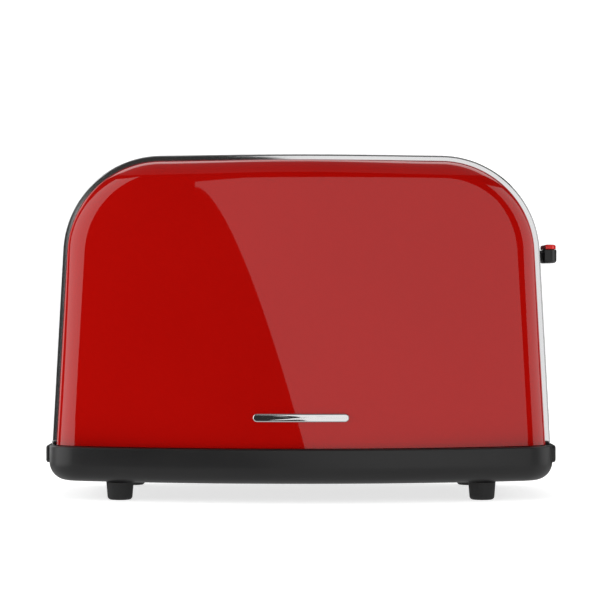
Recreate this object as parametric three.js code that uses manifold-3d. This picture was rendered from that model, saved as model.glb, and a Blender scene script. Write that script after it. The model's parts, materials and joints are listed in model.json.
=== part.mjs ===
// A two-slot pop-up toaster: bowed painted side panels, a steel band over the top and ends, a black base.
// Millimetres, +Z up. The origin is on the table under the centre; the front faces -Y, the lever end +X.
import * as THREE from "three";
import { ParametricGeometry } from "three/addons/geometries/ParametricGeometry.js";
import { mergeVertices } from "three/addons/utils/BufferGeometryUtils.js";
import Module from "manifold-3d";

const wasm = await Module();
wasm.setup();

// Driving dimensions.
const gap = 0.3; // between pieces that touch
const sheet = 1.2; // sheet metal, and the heater cards
const footHeight = 9.2;
const baseBottom = 9.5; // underside of the base
const baseTop = 27.6; // top of the base's rim
const baseReach = 131.8; // half length of the base, without its end pads
const padReach = 134; // half length with them
const baseHalf = 82.5; // half width of the base in the middle
const baseBow = 330; // radius of its front and back in plan
const baseCorner = 22;
const baseRound = 9.5; // fillet round the underside
const shellBottom = baseTop + gap;
const shellTop = 179.3;
const shoulder = 52; // corner radius of the band
const shoulderX = 73.6; // centre of that corner
const splay = THREE.MathUtils.degToRad(3.16); // lean of the two ends
const bandEnd = 40; // half width of the band on the ends
const bandSwell = 20; // how much wider it is in the middle of the top
const bandSwellReach = 120;
const bandFold = 4.5; // depth of its folded edges
const seam = 0.4; // between the band and a panel
const panelInset = 3; // the panels' outline inside the band's
const panelReach = 79.5; // half width over the panels at their foot
const panelDrop = 9; // how far their faces have curved in by the top
const panelBow = 280;
const panelRoll = 10; // height of the rolled edge
const slotReach = 70; // half length of a bread slot
const slotHalf = 17; // half width of a bread slot
const slotY = 22; // centre of the rear slot
const slotLip = 10;
const plateX = 80; // the two inner end plates
const plateTop = 160;
const plateHalf = 50;
const cardY = 45; // outer heater cards
const guideOpenY = 18.5; // each bread guide from its slot's centre, at rest
const wire = 1.6;
const liftTop = 97; // top of the bread lifters, raised
const carriageX = 86.5;
const rodX = 95;
const rodY = -14;
const rodRadius = 3;
const leverBottom = 123.5;
const leverTop = 133.3;
const leverIn = 130.4;
const leverOut = 137.8;
const leverHalf = 15;
const controlMid = 84.5; // height of the control panel's centre
const controlHalfY = 34;
const controlHalfZ = 52.5;
const knobZ = -35; // from the control panel's centre
const leverSlotLow = -17.5;
const leverSlotHigh = 48;
const knobRadius = 13.8;
const knobFace = 2.2; // out from the band
const knobGrip = 3.4; // out to the top of its grip bar
const buttonY = 25;
const buttonPitch = 15;
const buttonMid = 10.5;
const trayHalf = 39.5;
const trayFloor = 18;
const trayEnd = -129.3; // outer end of the pan; its handle starts just beyond
const counterbore = 2.6; // depth of the recesses for the base screws
const screwSpots = [-1, 1].flatMap((sx) => [-1, 1].map((sy) => [sx * 108, sy * 49]));
const inletSpot = { x: -40, y: 50 };
const outlineCentre = (leverOut - padReach) / 2; // of the whole outline, from the shell's middle

const materials = {
  redPaint: new THREE.MeshStandardMaterial({ color: 0xa10b06, roughness: 0.12, metalness: 0.1 }),
  steel: new THREE.MeshStandardMaterial({ color: 0xc9c9c9, roughness: 0.12, metalness: 1 }),
  chrome: new THREE.MeshStandardMaterial({ color: 0xe2e2e2, roughness: 0.05, metalness: 1 }),
  blackPlastic: new THREE.MeshStandardMaterial({ color: 0x232323, roughness: 0.45, metalness: 0 }),
  redPlastic: new THREE.MeshStandardMaterial({ color: 0xb00000, roughness: 0.2, metalness: 0 }),
  rubber: new THREE.MeshStandardMaterial({ color: 0x1c1c1c, roughness: 0.8, metalness: 0 }),
  zincSteel: new THREE.MeshStandardMaterial({ color: 0xa9abad, roughness: 0.4, metalness: 1 }),
  mica: new THREE.MeshStandardMaterial({ color: 0xb9ab8c, roughness: 0.6, metalness: 0 }),
  heatWire: new THREE.MeshStandardMaterial({ color: 0x6d665f, roughness: 0.5, metalness: 1 }),
  circuitBoard: new THREE.MeshStandardMaterial({ color: 0x2c5a34, roughness: 0.5, metalness: 0 }),
  copper: new THREE.MeshStandardMaterial({ color: 0xa8643a, roughness: 0.4, metalness: 1 }),
};

const toaster = new THREE.Group();

// Adds one named piece. The shape is a geometry or a manifold solid, drawn about the shell's middle, and
// it is moved here so that the origin is under the centre of the whole outline.
function piece(name, shape, material) {
  const geometry = shape.isBufferGeometry ? shape : geometryOf(shape);
  geometry.translate(-outlineCentre, 0, 0);
  const mesh = new THREE.Mesh(geometry, material.clone());
  mesh.name = name;
  toaster.add(mesh);
}

// A closed geometry as a manifold solid.
function solid(geometry) {
  const bare = geometry.clone();
  bare.deleteAttribute("normal");
  bare.deleteAttribute("uv");
  const merged = mergeVertices(bare, 1e-4);
  const triVerts = new Uint32Array(
    merged.index ? merged.index.array : merged.attributes.position.array.keys(),
  );
  const vertProperties = merged.attributes.position.array;
  return new wasm.Manifold(new wasm.Mesh({ numProp: 3, vertProperties, triVerts }));
}

function geometryOf(made) {
  const mesh = made.getMesh();
  const geometry = new THREE.BufferGeometry();
  geometry.setAttribute("position", new THREE.BufferAttribute(mesh.vertProperties, mesh.numProp));
  geometry.setIndex(new THREE.BufferAttribute(mesh.triVerts, 1));
  return geometry;
}

const join = (first, ...others) => others.reduce((sum, g) => sum.add(solid(g)), asSolid(first));
const cut = (first, ...tools) => tools.reduce((rest, g) => rest.subtract(solid(g)), asSolid(first));
const asSolid = (shape) => (shape.isBufferGeometry ? solid(shape) : shape);

// A box between two opposite corners.
function box(x0, x1, y0, y1, z0, z1) {
  const geometry = new THREE.BoxGeometry(x1 - x0, y1 - y0, z1 - z0);
  return geometry.translate((x0 + x1) / 2, (y0 + y1) / 2, (z0 + z1) / 2);
}

// An outline in plan, raised from z0 to z1.
function raise(shape, z0, z1, curveSegments = 6) {
  const options = { depth: z1 - z0, bevelEnabled: false, curveSegments };
  return new THREE.ExtrudeGeometry(shape, options).translate(0, 0, z0);
}

// An outline of x and z, carried from y0 to y1.
function carry(shape, y0, y1, curveSegments = 6) {
  const options = { depth: y1 - y0, bevelEnabled: false, curveSegments };
  return new THREE.ExtrudeGeometry(shape, options).rotateX(Math.PI / 2).translate(0, y1, 0);
}

// An outline of y and z, carried from x0 to x1.
function push(shape, x0, x1, curveSegments = 6) {
  const options = { depth: x1 - x0, bevelEnabled: false, curveSegments };
  const turn = new THREE.Matrix4().set(0, 0, 1, x0, 1, 0, 0, 0, 0, 1, 0, 0, 0, 0, 0, 1);
  return new THREE.ExtrudeGeometry(shape, options).applyMatrix4(turn);
}

// A round bar standing at x, y.
function post(radius, x, y, z0, z1, sides = 16, topRadius = radius) {
  const geometry = new THREE.CylinderGeometry(topRadius, radius, z1 - z0, sides);
  return geometry.rotateX(Math.PI / 2).translate(x, y, (z0 + z1) / 2);
}

// A round bar along X.
function axle(radius, y, z, x0, x1, sides = 24) {
  const geometry = new THREE.CylinderGeometry(radius, radius, x1 - x0, sides);
  return geometry.rotateZ(-Math.PI / 2).translate((x0 + x1) / 2, y, z);
}

function rectangle(u0, u1, v0, v1, radius = 0) {
  const shape = new THREE.Shape();
  if (radius === 0) {
    shape.setFromPoints([
      new THREE.Vector2(u0, v0),
      new THREE.Vector2(u1, v0),
      new THREE.Vector2(u1, v1),
      new THREE.Vector2(u0, v1),
    ]);
    return shape;
  }
  shape.absarc(u1 - radius, v0 + radius, radius, -Math.PI / 2, 0);
  shape.absarc(u1 - radius, v1 - radius, radius, 0, Math.PI / 2);
  shape.absarc(u0 + radius, v1 - radius, radius, Math.PI / 2, Math.PI);
  shape.absarc(u0 + radius, v0 + radius, radius, Math.PI, 1.5 * Math.PI);
  shape.closePath();
  return shape;
}

// How far a circle of that radius has fallen back at x from its middle.
const sag = (x, radius) => radius - Math.sqrt(radius * radius - x * x);

// Outline of the band from the front, moved in by inset: two leaning sides, two shoulders and a flat top.
const shoulderZ = shellTop - shoulder;
function sideX(z, inset) {
  const tangent = (shoulder - inset) * Math.cos(splay) + shoulderX;
  const tangentZ = (shoulder - inset) * Math.sin(splay) + shoulderZ;
  return tangent + (tangentZ - z) * Math.tan(splay);
}

function bandOutline(inset, bottom) {
  const radius = shoulder - inset;
  const shape = new THREE.Shape();
  shape.moveTo(-sideX(bottom, inset), bottom);
  shape.lineTo(sideX(bottom, inset), bottom);
  shape.absarc(shoulderX, shoulderZ, radius, splay, Math.PI / 2);
  shape.absarc(-shoulderX, shoulderZ, radius, Math.PI / 2, Math.PI - splay);
  shape.closePath();
  return shape;
}

// Half width of the band in plan: widest in the middle of the top, constant down the ends.
function bandHalf(x) {
  const along = Math.min(1, Math.abs(x) / bandSwellReach);
  return bandEnd + (bandSwell / 2) * (1 + Math.cos(Math.PI * along));
}

function bandPlan(inset) {
  const reach = padReach + 10;
  const steps = 24;
  const front = [];
  for (let i = 0; i <= steps; i += 1) {
    const x = bandSwellReach * ((2 * i) / steps - 1);
    front.push(new THREE.Vector2(x, inset - bandHalf(x)));
  }
  front.unshift(new THREE.Vector2(-reach, inset - bandEnd));
  front.push(new THREE.Vector2(reach, inset - bandEnd));
  const rear = front.map((p) => new THREE.Vector2(p.x, -p.y)).reverse();
  return new THREE.Shape([...front, ...rear]);
}

// The right end's face: x out of it, z up along it, the origin on the steel at the controls' centre.
const endMatrix = new THREE.Matrix4()
  .makeRotationY(-splay)
  .setPosition(sideX(controlMid, 0), 0, controlMid);
const onEnd = (geometry) => geometry.applyMatrix4(endMatrix);

// The band: bent sheet over the top and both ends, its edges folded in, with folded slots and a
// cut-out for the controls.
function steelBand() {
  const block = (inset, bottom) => solid(carry(bandOutline(inset, bottom), -70, 70, 5));
  const plan = (inset) => solid(raise(bandPlan(inset), 0, 200));
  const below = shellBottom - 5;
  let band = block(0, shellBottom).intersect(plan(0));
  band = band.subtract(block(sheet, below).intersect(plan(sheet))).subtract(block(bandFold, below));
  for (const y of [-slotY, slotY]) {
    const y0 = y - slotHalf;
    const y1 = y + slotHalf;
    const top = shellTop - sheet / 2;
    const lip = rectangle(-slotReach - 1, slotReach + 1, y0 - 1, y1 + 1, 5);
    band = band.add(solid(raise(lip, shellTop - slotLip, top, 3)));
    band = cut(band, raise(rectangle(-slotReach, slotReach, y0, y1, 4), 160, 190, 3));
  }
  const cutY = controlHalfY + gap;
  const cutZ = controlHalfZ + gap;
  return cut(band, onEnd(push(rectangle(-cutY, cutY, -cutZ, cutZ, 8), -10, 10, 4)));
}

// Distance of a panel's face from the middle plane: bowed along its length, curved in towards the top.
const risen = (z) => (z - shellBottom) / (shellTop - shellBottom);
const panelFace = (x, z) => panelReach - panelDrop * risen(z) ** 2 - sag(x, panelBow);

// One ring of the panel's section: angle 0 is at the band, 90 degrees is on the face, both measured
// on the rolled edge; skin is how far inside the outer surface the ring lies.
function panelRing(angle, skin) {
  const inset = panelInset + panelRoll - (panelRoll - skin) * Math.cos(angle);
  const bottom = shellBottom + skin;
  const flat = 8;
  const arc = 8;
  const radius = shoulder - inset;
  const top = [];
  for (let i = 0; i <= arc; i += 1) {
    const turn = splay + (i / arc) * (Math.PI / 2 - splay);
    top.push([shoulderX + radius * Math.cos(turn), shoulderZ + radius * Math.sin(turn)]);
  }
  for (let i = 1; i < flat / 2; i += 1) {
    top.push([shoulderX * (1 - (2 * i) / flat), shoulderZ + radius]);
  }
  const right = [[sideX(bottom, inset), bottom], ...top, [0, shoulderZ + radius]];
  const left = right.slice(0, -1).map(([x, z]) => [-x, z]).reverse();
  const upper = [...right, ...left];
  const lower = upper.slice(1, -1).map(([x]) => [x, bottom]).reverse();
  return [...upper, ...lower].map(([x, z]) => {
    const edge = bandHalf(x) + seam;
    const proud = edge + (panelFace(x, z) - skin - edge) * Math.sin(angle);
    return new THREE.Vector3(x, -proud, z);
  });
}

// A ring drawn in towards the middle of the face: share 0 is the ring itself, 1 the line where its top
// and bottom halves meet.
function panelInner(ring, share, skin) {
  const middle = shoulderZ / 2 + 20;
  const end = ring[1].x;
  return ring.map((p) => {
    const x = THREE.MathUtils.lerp(p.x, THREE.MathUtils.clamp(p.x, -end, end), share);
    const z = THREE.MathUtils.lerp(p.z, middle, share);
    return new THREE.Vector3(x, skin - panelFace(x, z), z);
  });
}

// A bowed pan of painted sheet: rolled edges all round, with a flange turned in at the foot for its screws.
function sidePanel() {
  const rings = [];
  const steps = 4;
  for (let i = steps; i >= 0; i -= 1) rings.push(panelRing((i / steps) * (Math.PI / 2), 0));
  for (let i = 0; i <= steps; i += 1) rings.push(panelRing((i / steps) * (Math.PI / 2), sheet));
  const outerEdge = rings[0];
  const innerEdge = rings[rings.length - 1];
  for (const share of [0.35, 0.7, 1]) {
    rings.unshift(panelInner(outerEdge, share, 0));
    rings.push(panelInner(innerEdge, share, sheet));
  }
  const around = rings[0].length;
  const across = rings.length - 1;
  const surface = (u, v, target) => {
    const ring = rings[Math.round(v * across)];
    target.copy(ring[Math.round((1 - u) * around) % around]);
  };
  const holes = screwSpots.filter((spot) => spot[1] < 0).map(([x, y]) => post(1.8, x, y, 20, 40, 12));
  return cut(new ParametricGeometry(surface, around, across), ...holes);
}

// A plain raised bar that follows the front panel's bow.
function frontBadge() {
  const half = 24.5;
  const mid = 43.5;
  const tall = 2.2;
  const lift = panelFace(0, mid - tall) + gap;
  const centreY = panelBow - lift;
  const turn = Math.asin(half / panelBow);
  const shape = new THREE.Shape();
  shape.absarc(0, centreY, panelBow + 1, -Math.PI / 2 - turn, -Math.PI / 2 + turn);
  shape.absarc(0, centreY, panelBow, -Math.PI / 2 + turn, -Math.PI / 2 - turn, true);
  shape.closePath();
  return raise(shape, mid - tall, mid + tall, 5);
}

// The base's outline in plan, moved in by inset: bowed front and back, straight ends, round corners.
function basePlan(inset) {
  const length = baseReach - inset;
  const bow = baseBow - inset;
  const round = Math.max(4, baseCorner - inset);
  const bowY = bow - (baseHalf - inset);
  const cornerX = length - round;
  const turn = Math.asin(cornerX / (bow - round));
  const cornerY = (bow - round) * Math.cos(turn) - bowY;
  const quarter = Math.PI / 2;
  const shape = new THREE.Shape();
  shape.absarc(0, bowY, bow, -quarter - turn, -quarter + turn);
  shape.absarc(cornerX, -cornerY, round, -quarter + turn, 0);
  shape.absarc(cornerX, cornerY, round, 0, quarter - turn);
  shape.absarc(0, -bowY, bow, quarter - turn, quarter + turn);
  shape.absarc(-cornerX, cornerY, round, quarter + turn, Math.PI);
  shape.absarc(-cornerX, -cornerY, round, Math.PI, 3 * quarter - turn);
  shape.closePath();
  return shape;
}

// An end pad's outline in x and z on the right: level top, chamfered lower edge.
function padOutline(innerX) {
  return new THREE.Shape([
    new THREE.Vector2(innerX, 18.6),
    new THREE.Vector2(padReach - 1.4, 18.2),
    new THREE.Vector2(padReach, 19.6),
    new THREE.Vector2(padReach, baseTop - 1),
    new THREE.Vector2(padReach - 1, baseTop - 0.2),
    new THREE.Vector2(innerX, baseTop - 0.2),
  ]);
}

// The base: a tub with a deck that the shell stands on, screw posts, tray rails and an end pad.
function baseTub() {
  const wall = 2.5;
  const body = new THREE.ExtrudeGeometry(basePlan(baseRound), {
    depth: baseTop,
    bevelSize: baseRound,
    bevelThickness: baseRound,
    bevelSegments: 4,
    curveSegments: 5,
  }).translate(0, 0, baseBottom + baseRound);
  let tub = cut(body, box(-200, 200, -100, 100, baseTop, 80));
  tub = cut(tub, raise(basePlan(baseRound), baseBottom + wall, baseTop - wall, 5));
  tub = cut(tub, box(-78, 78, -46, 46, 20, 30));
  for (const [x, y] of screwSpots) {
    tub = join(tub, post(6, x, y, baseBottom + 1, baseTop - 1));
    tub = cut(tub, post(1.8, x, y, 0, 40, 12), post(4, x, y, 0, baseBottom + counterbore));
  }
  for (const y of [-30, 30]) {
    tub = join(tub, box(-120, 88, y - 1.5, y + 1.5, baseBottom + 1, trayFloor - gap));
  }
  tub = cut(tub, box(-150, trayEnd, -38.5, 38.5, 17.9, 30));
  tub = cut(tub, box(-150, -100, -trayHalf - 1, trayHalf + 1, 17.4, 24.4));
  tub = cut(tub, post(5.4, inletSpot.x, inletSpot.y, 0, 20));
  return join(tub, carry(padOutline(baseReach - 1), -36, 36));
}

// The crumb tray: a shallow folded pan, open on top.
function crumbTray() {
  const long = 86;
  const pan = box(trayEnd, long, -trayHalf, trayHalf, trayFloor, trayFloor + 5.4);
  return cut(pan, box(trayEnd + 1, long - 1, 1 - trayHalf, trayHalf - 1, trayFloor + 1, trayFloor + 10));
}

// The tray's handle: an end pad with a finger groove under its face.
function trayHandle() {
  const bar = carry(padOutline(gap - trayEnd), -38, 38).rotateZ(Math.PI);
  const grip = box(-padReach - 1, -padReach + 1, -14, 14, 17, 20.4);
  return cut(bar, grip);
}

function foot(x, y) {
  const r = 6.5;
  const profile = [
    [0, 0],
    [r - 1.2, 0],
    [r - 0.3, 0.4],
    [r, 1.4],
    [r + 0.6, footHeight],
    [0, footHeight],
  ].map(([u, v]) => new THREE.Vector2(u, v));
  return new THREE.LatheGeometry(profile, 20).rotateX(Math.PI / 2).translate(x, y, 0);
}

// A pan-head screw with a cross recess, driven up through the base.
function baseScrew(x, y) {
  const head = baseBottom + counterbore - gap;
  const screw = join(post(3.4, x, y, head - 1.6, head, 12), post(1.45, x, y, head - 0.5, 32, 8));
  const deep = head - 0.8;
  const recess = (halfX, halfY) => box(x - halfX, x + halfX, y - halfY, y + halfY, 0, deep);
  return cut(screw, recess(2, 0.4), recess(0.4, 2));
}

// A flanged bushing for the mains lead, through the underside.
function cordInlet() {
  const profile = [
    [4, 8.2],
    [8, 8.2],
    [8, 9.2],
    [5, 9.2],
    [5, 15],
    [4, 15],
    [4, 8.2],
  ].map(([u, v]) => new THREE.Vector2(u, v));
  const bushing = new THREE.LatheGeometry(profile, 16).rotateX(Math.PI / 2);
  return bushing.translate(inletSpot.x, inletSpot.y, 0);
}

// The plate that the inside stands on, with a wide opening for the crumbs.
function chassisPlate() {
  const z0 = shellBottom;
  const outline = solid(raise(bandPlan(1), z0, z0 + sheet));
  const plate = outline.intersect(solid(box(-124, 124, -80, 80, 0, 100)));
  return cut(plate, box(-74, 74, -41, 41, 20, 40));
}

// An inner end plate, with two tall slots for the lifters.
function endPlate(x0) {
  const z0 = shellBottom + sheet + gap;
  let plate = solid(box(x0, x0 + sheet, -plateHalf, plateHalf, z0, plateTop));
  for (const y of [-slotY, slotY]) {
    plate = cut(plate, box(x0 - 1, x0 + 3, y - 7, y + 7, 34, liftTop + 6));
  }
  return plate;
}

function heatShield(side) {
  const y = side * (plateHalf - 1.5);
  return box(-plateX + 1, plateX - 1, y - sheet / 2, y + sheet / 2, 30, plateTop - 2);
}

// A mica card at depth y, notched at its two upper corners.
function heaterCard(y) {
  const card = box(-plateX + 1.5, plateX - 1.5, y - sheet / 2, y + sheet / 2, 36, plateTop - 4);
  const notch = (x) => box(x - 5, x + 5, y - 2, y + 2, plateTop - 14, plateTop);
  return cut(card, notch(-plateX), notch(plateX));
}

// A ribbon laid to and fro across a card: level runs, joined at alternate ends.
function heaterRibbon(y) {
  const runs = 9;
  const pitch = 12.5;
  const low = 46;
  const reach = 66;
  const bar = (x0, x1, z0, z1) => box(x0, x1, y - 0.2, y + 0.2, z0, z1);
  const bars = [];
  for (let i = 0; i < runs; i += 1) {
    const z = low + i * pitch;
    bars.push(bar(-reach, reach, z - 0.8, z + 0.8));
    const x = i % 2 ? -reach : reach - 1.6;
    if (i < runs - 1) bars.push(bar(x, x + 1.6, z, z + pitch));
  }
  return join(...bars);
}

// A wire guide beside a slot: level bars at the top and foot, and uprights between them.
function breadGuide(y) {
  const low = 34;
  const top = plateTop - 1;
  const reach = plateX - 1;
  const uprights = 7;
  const rail = (z) => box(-reach, reach, y - wire / 2, y + wire / 2, z, z + wire);
  const bars = [rail(low), rail(top - wire)];
  for (let i = 0; i < uprights; i += 1) {
    const x = 62 * ((2 * i) / (uprights - 1) - 1);
    bars.push(box(x - wire / 2, x + wire / 2, y - wire / 2 + 0.1, y + wire / 2 - 0.1, low, top));
  }
  return join(...bars);
}

// A bread lifter: a narrow strip with a row of upturned teeth.
function breadLifter(y) {
  const strip = box(-86, 86, y - 5, y + 5, liftTop - 3, liftTop - 1.5);
  const teeth = [];
  for (let x = -60; x <= 60; x += 20) teeth.push(box(x - 1, x + 1, y - 5, y + 5, liftTop - 2, liftTop));
  return join(strip, ...teeth);
}

// The carriage: a plate on the guide rod, with the arm that reaches out to the lever.
function carriage() {
  const low = 95;
  const high = 116;
  const arm = leverBottom + 0.8;
  const made = join(
    box(carriageX, carriageX + 1.5, -29, 29, low, high),
    box(carriageX, rodX + 6, rodY - 6, rodY + 6, low + 2, high - 2),
    box(carriageX, carriageX + 1.5, -7, 7, high - 1, arm + 6.5),
    box(carriageX, 126, -1.2, 1.2, arm, arm + 6.5),
    box(100, 108, -1.2, 1.2, arm - 5, arm + 1),
    box(carriageX, rodX + 2, -rodY - 1, -rodY + 1, high - 4, high),
  );
  return cut(made, post(rodRadius + 0.3, rodX, rodY, low - 5, high + 5, 16));
}

// The lever's outline in plan: straight inside, bowed outside.
function leverPlan(inset) {
  const half = leverHalf - inset;
  const depth = leverOut - inset - leverIn;
  const shape = new THREE.Shape();
  shape.moveTo(leverIn, -half);
  shape.quadraticCurveTo(leverIn + depth, -half, leverIn + depth, -half * 0.45);
  shape.lineTo(leverIn + depth, half * 0.45);
  shape.quadraticCurveTo(leverIn + depth, half, leverIn, half);
  shape.closePath();
  return shape;
}

const capBottom = leverTop - 2.4;

function leverHandle() {
  const body = raise(leverPlan(0), leverBottom, capBottom - gap, 6);
  return join(body, box(126.3, leverIn + 1, -3, 3, leverBottom + 0.6, capBottom - 0.7));
}

// A helical tension spring standing beside the rod, with square ends.
function carriageSpring(x, y, z0, z1) {
  const turns = 9;
  const radius = 4;
  class Helix extends THREE.Curve {
    getPoint(t, target = new THREE.Vector3()) {
      const angle = 2 * Math.PI * turns * t;
      return target.set(x + radius * Math.cos(angle), y + radius * Math.sin(angle), z0 + (z1 - z0) * t);
    }
  }
  const section = new THREE.Shape();
  section.absarc(0, 0, 0.6, 0, 2 * Math.PI);
  const options = { steps: turns * 9, curveSegments: 3, bevelEnabled: false, extrudePath: new Helix() };
  return new THREE.ExtrudeGeometry(section, options);
}

// The bracket that holds the rod's head and the spring, folded out of the end plate's plane.
function rodBracket() {
  const x0 = plateX + sheet + gap;
  const under = plateTop - 1.5;
  const leg = box(x0, x0 + sheet, -22, 22, 142, under + 0.5);
  const shelf = box(x0, rodX + 8, -22, 22, under, under + sheet);
  return cut(join(leg, shelf), post(rodRadius + 0.3, rodX, rodY, 150, 170, 16));
}

function guideRod() {
  return post(rodRadius, rodX, rodY, shellBottom + sheet + gap, plateTop + 3, 16);
}

// The latch's electromagnet: a coil on a foot, with its pole showing on top.
function latchMagnet() {
  const floor = shellBottom + sheet + gap;
  const coilX = 104;
  const plinth = box(coilX - 7, coilX + 7, -8, 8, floor, floor + 3);
  return join(plinth, post(6, coilX, 0, floor + 2, 54, 16), post(2.5, coilX, 0, 50, 58, 12));
}

// The circuit board behind the controls: an L that leaves the arm's path free, with three switches.
function controlBoard() {
  const x0 = 112;
  const board = join(box(x0, x0 + 1.5, -36, 36, 32, 62), box(x0, x0 + 1.5, 13, 36, 60, 116));
  const switches = buttonHeights.map((z) => {
    const centre = controlMid + z;
    return box(x0 + 1, x0 + 4.5, buttonY - 3, buttonY + 3, centre - 3, centre + 3);
  });
  return join(board, ...switches);
}

// The control panel, in the end's own frame: a plate with a cup for the knob, a lever slot and button holes.
const cupRadius = 16;
const buttonHeights = [-1, 0, 1].map((i) => buttonMid + i * buttonPitch);
function controlPanel() {
  const face = 0.3;
  const plate = push(rectangle(-controlHalfY, controlHalfY, -controlHalfZ, controlHalfZ, 8), -2.4, face, 4);
  let made = join(plate, axle(cupRadius, 0, knobZ, -8, face - 0.2, 32));
  made = cut(made, axle(cupRadius - 1.4, 0, knobZ, -6.6, 5, 32), axle(3.4, 0, knobZ, -20, 5, 12));
  made = cut(made, push(rectangle(-4, 4, leverSlotLow, leverSlotHigh, 3), -10, 5, 4));
  for (const z of buttonHeights) {
    made = cut(made, push(rectangle(buttonY - 5.3, buttonY + 5.3, z - 4.3, z + 4.3, 2), -10, 5, 4));
  }
  return onEnd(geometryOf(made));
}

// The browning knob: a ribbed cap on a shaft, with a pointer groove in its face.
function browningKnob() {
  const cap = axle(knobRadius, 0, knobZ, -6.2, knobFace, 32);
  const grip = box(knobFace - 1, knobGrip, -1.8, 1.8, knobZ - knobRadius + 1, knobZ + knobRadius - 1);
  const shaft = axle(3, 0, knobZ, -12, -5, 12);
  const pointer = box(knobGrip - 0.4, knobGrip + 1, -0.5, 0.5, knobZ + 5, knobZ + knobRadius - 2);
  return onEnd(geometryOf(cut(join(cap, grip, shaft), pointer)));
}

function potentiometer() {
  const z = knobZ;
  return onEnd(geometryOf(cut(box(-15.4, -10.4, -7, 7, z - 7, z + 7), axle(3.4, 0, z, -12.5, -9, 12))));
}

// A push button: a rounded cap with a stem towards its switch.
function pushButton(z) {
  const cap = push(rectangle(buttonY - 5, buttonY + 5, z - 4, z + 4, 2), -3, 2.4, 4);
  return onEnd(geometryOf(join(cap, box(-5.5, -2, buttonY - 2, buttonY + 2, z - 2, z + 2))));
}

piece("steel_band", steelBand(), materials.steel);
const frontPanel = sidePanel();
piece("front_panel", frontPanel, materials.redPaint);
piece("rear_panel", geometryOf(frontPanel).rotateZ(Math.PI), materials.redPaint);
piece("front_badge", frontBadge(), materials.chrome);
piece("base_tub", baseTub(), materials.blackPlastic);
piece("crumb_tray", crumbTray(), materials.zincSteel);
piece("crumb_tray_handle", trayHandle(), materials.blackPlastic);
piece("cord_inlet", cordInlet(), materials.rubber);
for (const [side, y] of [["front", -53], ["rear", 53]]) {
  piece(`foot_${side}_left`, foot(-94, y), materials.rubber);
  piece(`foot_${side}_right`, foot(94, y), materials.rubber);
}
screwSpots.forEach(([x, y], i) => piece(`base_screw_${i + 1}`, baseScrew(x, y), materials.zincSteel));

piece("chassis_plate", chassisPlate(), materials.zincSteel);
piece("end_plate_left", endPlate(-plateX - sheet), materials.zincSteel);
piece("end_plate_right", endPlate(plateX), materials.zincSteel);
piece("heat_shield_front", heatShield(-1), materials.zincSteel);
piece("heat_shield_rear", heatShield(1), materials.zincSteel);
piece("heater_card_front", heaterCard(-cardY), materials.mica);
piece("heater_card_middle", heaterCard(0), materials.mica);
piece("heater_card_rear", heaterCard(cardY), materials.mica);
const ribbonOff = sheet / 2 + gap + 0.2;
piece("heater_ribbon_front", heaterRibbon(-cardY + ribbonOff), materials.heatWire);
piece("heater_ribbon_middle_front", heaterRibbon(-ribbonOff), materials.heatWire);
piece("heater_ribbon_middle_rear", heaterRibbon(ribbonOff), materials.heatWire);
piece("heater_ribbon_rear", heaterRibbon(cardY - ribbonOff), materials.heatWire);
for (const [side, y] of [["front", -slotY], ["rear", slotY]]) {
  const outward = Math.sign(y);
  piece(`bread_guide_${side}_outer`, breadGuide(y + outward * guideOpenY), materials.zincSteel);
  piece(`bread_guide_${side}_inner`, breadGuide(y - outward * guideOpenY), materials.zincSteel);
  piece(`bread_lifter_${side}`, breadLifter(y), materials.zincSteel);
}
piece("carriage", carriage(), materials.zincSteel);
piece("guide_rod", guideRod(), materials.zincSteel);
piece("rod_bracket", rodBracket(), materials.zincSteel);
piece("carriage_spring", carriageSpring(rodX, -rodY, 117, 157), materials.zincSteel);
piece("latch_magnet", latchMagnet(), materials.copper);
piece("armature_plate", box(99, 109, -6, 6, 116.6, 118.9), materials.zincSteel);
piece("lever_handle", leverHandle(), materials.blackPlastic);
piece("lever_cap", raise(leverPlan(0.4), capBottom, leverTop, 6), materials.redPlastic);
piece("power_switch", box(84, 94, 34, 42, 34, 50), materials.blackPlastic);
piece("control_board", controlBoard(), materials.circuitBoard);
piece("control_panel", controlPanel(), materials.blackPlastic);
piece("browning_potentiometer", potentiometer(), materials.blackPlastic);
piece("browning_knob", browningKnob(), materials.blackPlastic);
["cancel_button", "reheat_button", "defrost_button"].forEach((name, i) => {
  piece(name, pushButton(buttonHeights[2 - i]), materials.blackPlastic);
});

export default toaster;
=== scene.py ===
import json
import math

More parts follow.
